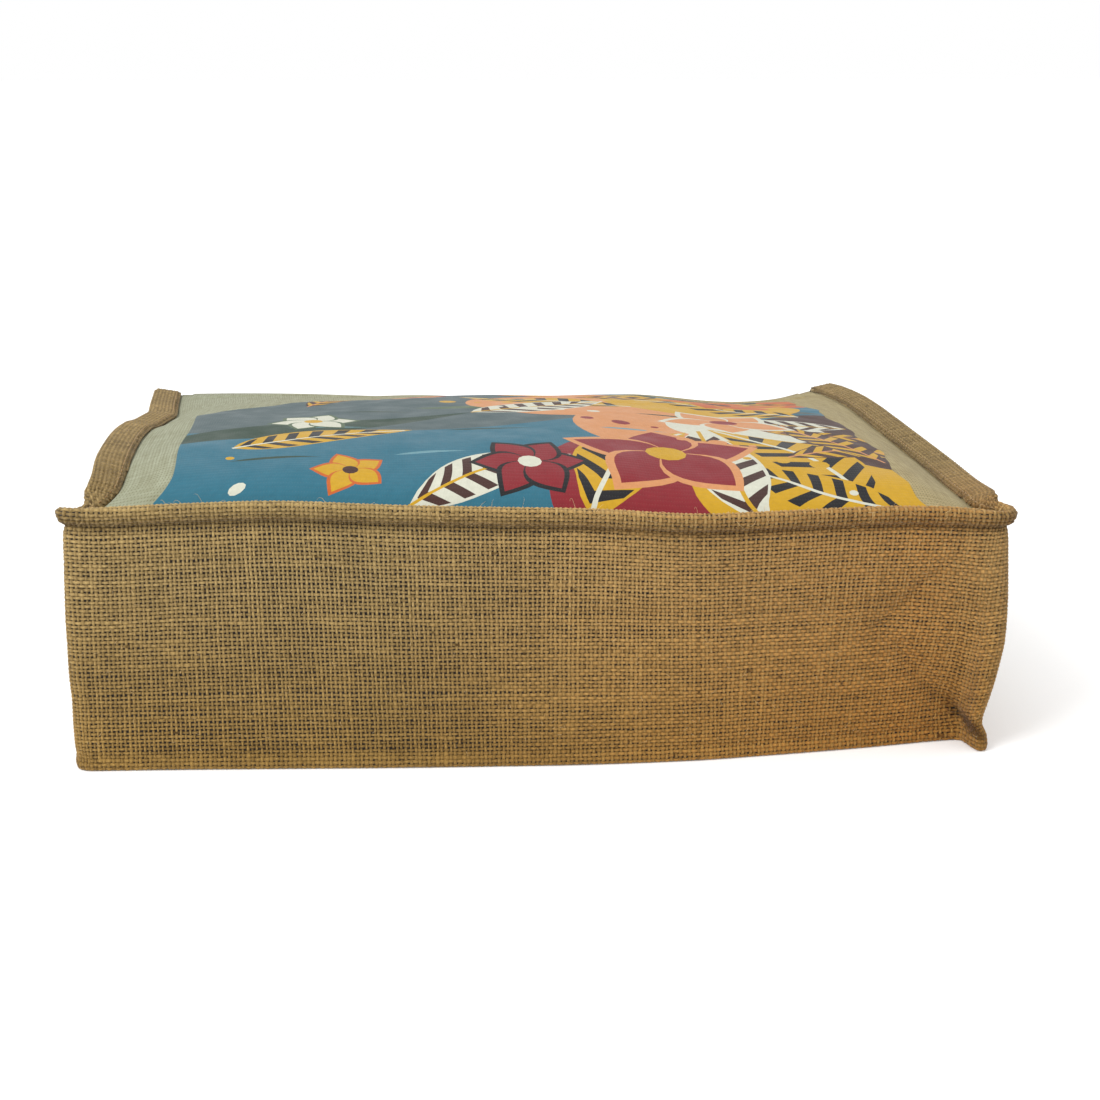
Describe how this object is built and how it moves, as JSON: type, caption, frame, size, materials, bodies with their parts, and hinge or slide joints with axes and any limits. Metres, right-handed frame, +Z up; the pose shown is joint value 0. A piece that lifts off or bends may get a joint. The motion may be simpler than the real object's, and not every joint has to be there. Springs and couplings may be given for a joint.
{
  "type": "burlap bag",
  "caption": "Open burlap shopping bag lying on its back, with a light printed front panel and a burlap gusset round the sides and bottom.",
  "frame": {"origin": "centre of the lying bag's footprint, on the surface it rests on", "axes": "+X along the bottom of the bag, to the right as seen from the bottom, +Y from the bottom towards the mouth, +Z up through the front panel"},
  "size_m": [0.4083, 0.3625, 0.1283],
  "materials": {
    "burlap": "coarse plain weave, matt",
    "front_cloth": "natural plain weave with a smooth print",
    "back_cloth": "natural plain weave, matt"
  },
  "bodies": {
    "root": {"gusset": "burlap", "front_panel": "front_cloth", "back_panel": "back_cloth"}
  },
  "joints": []
}
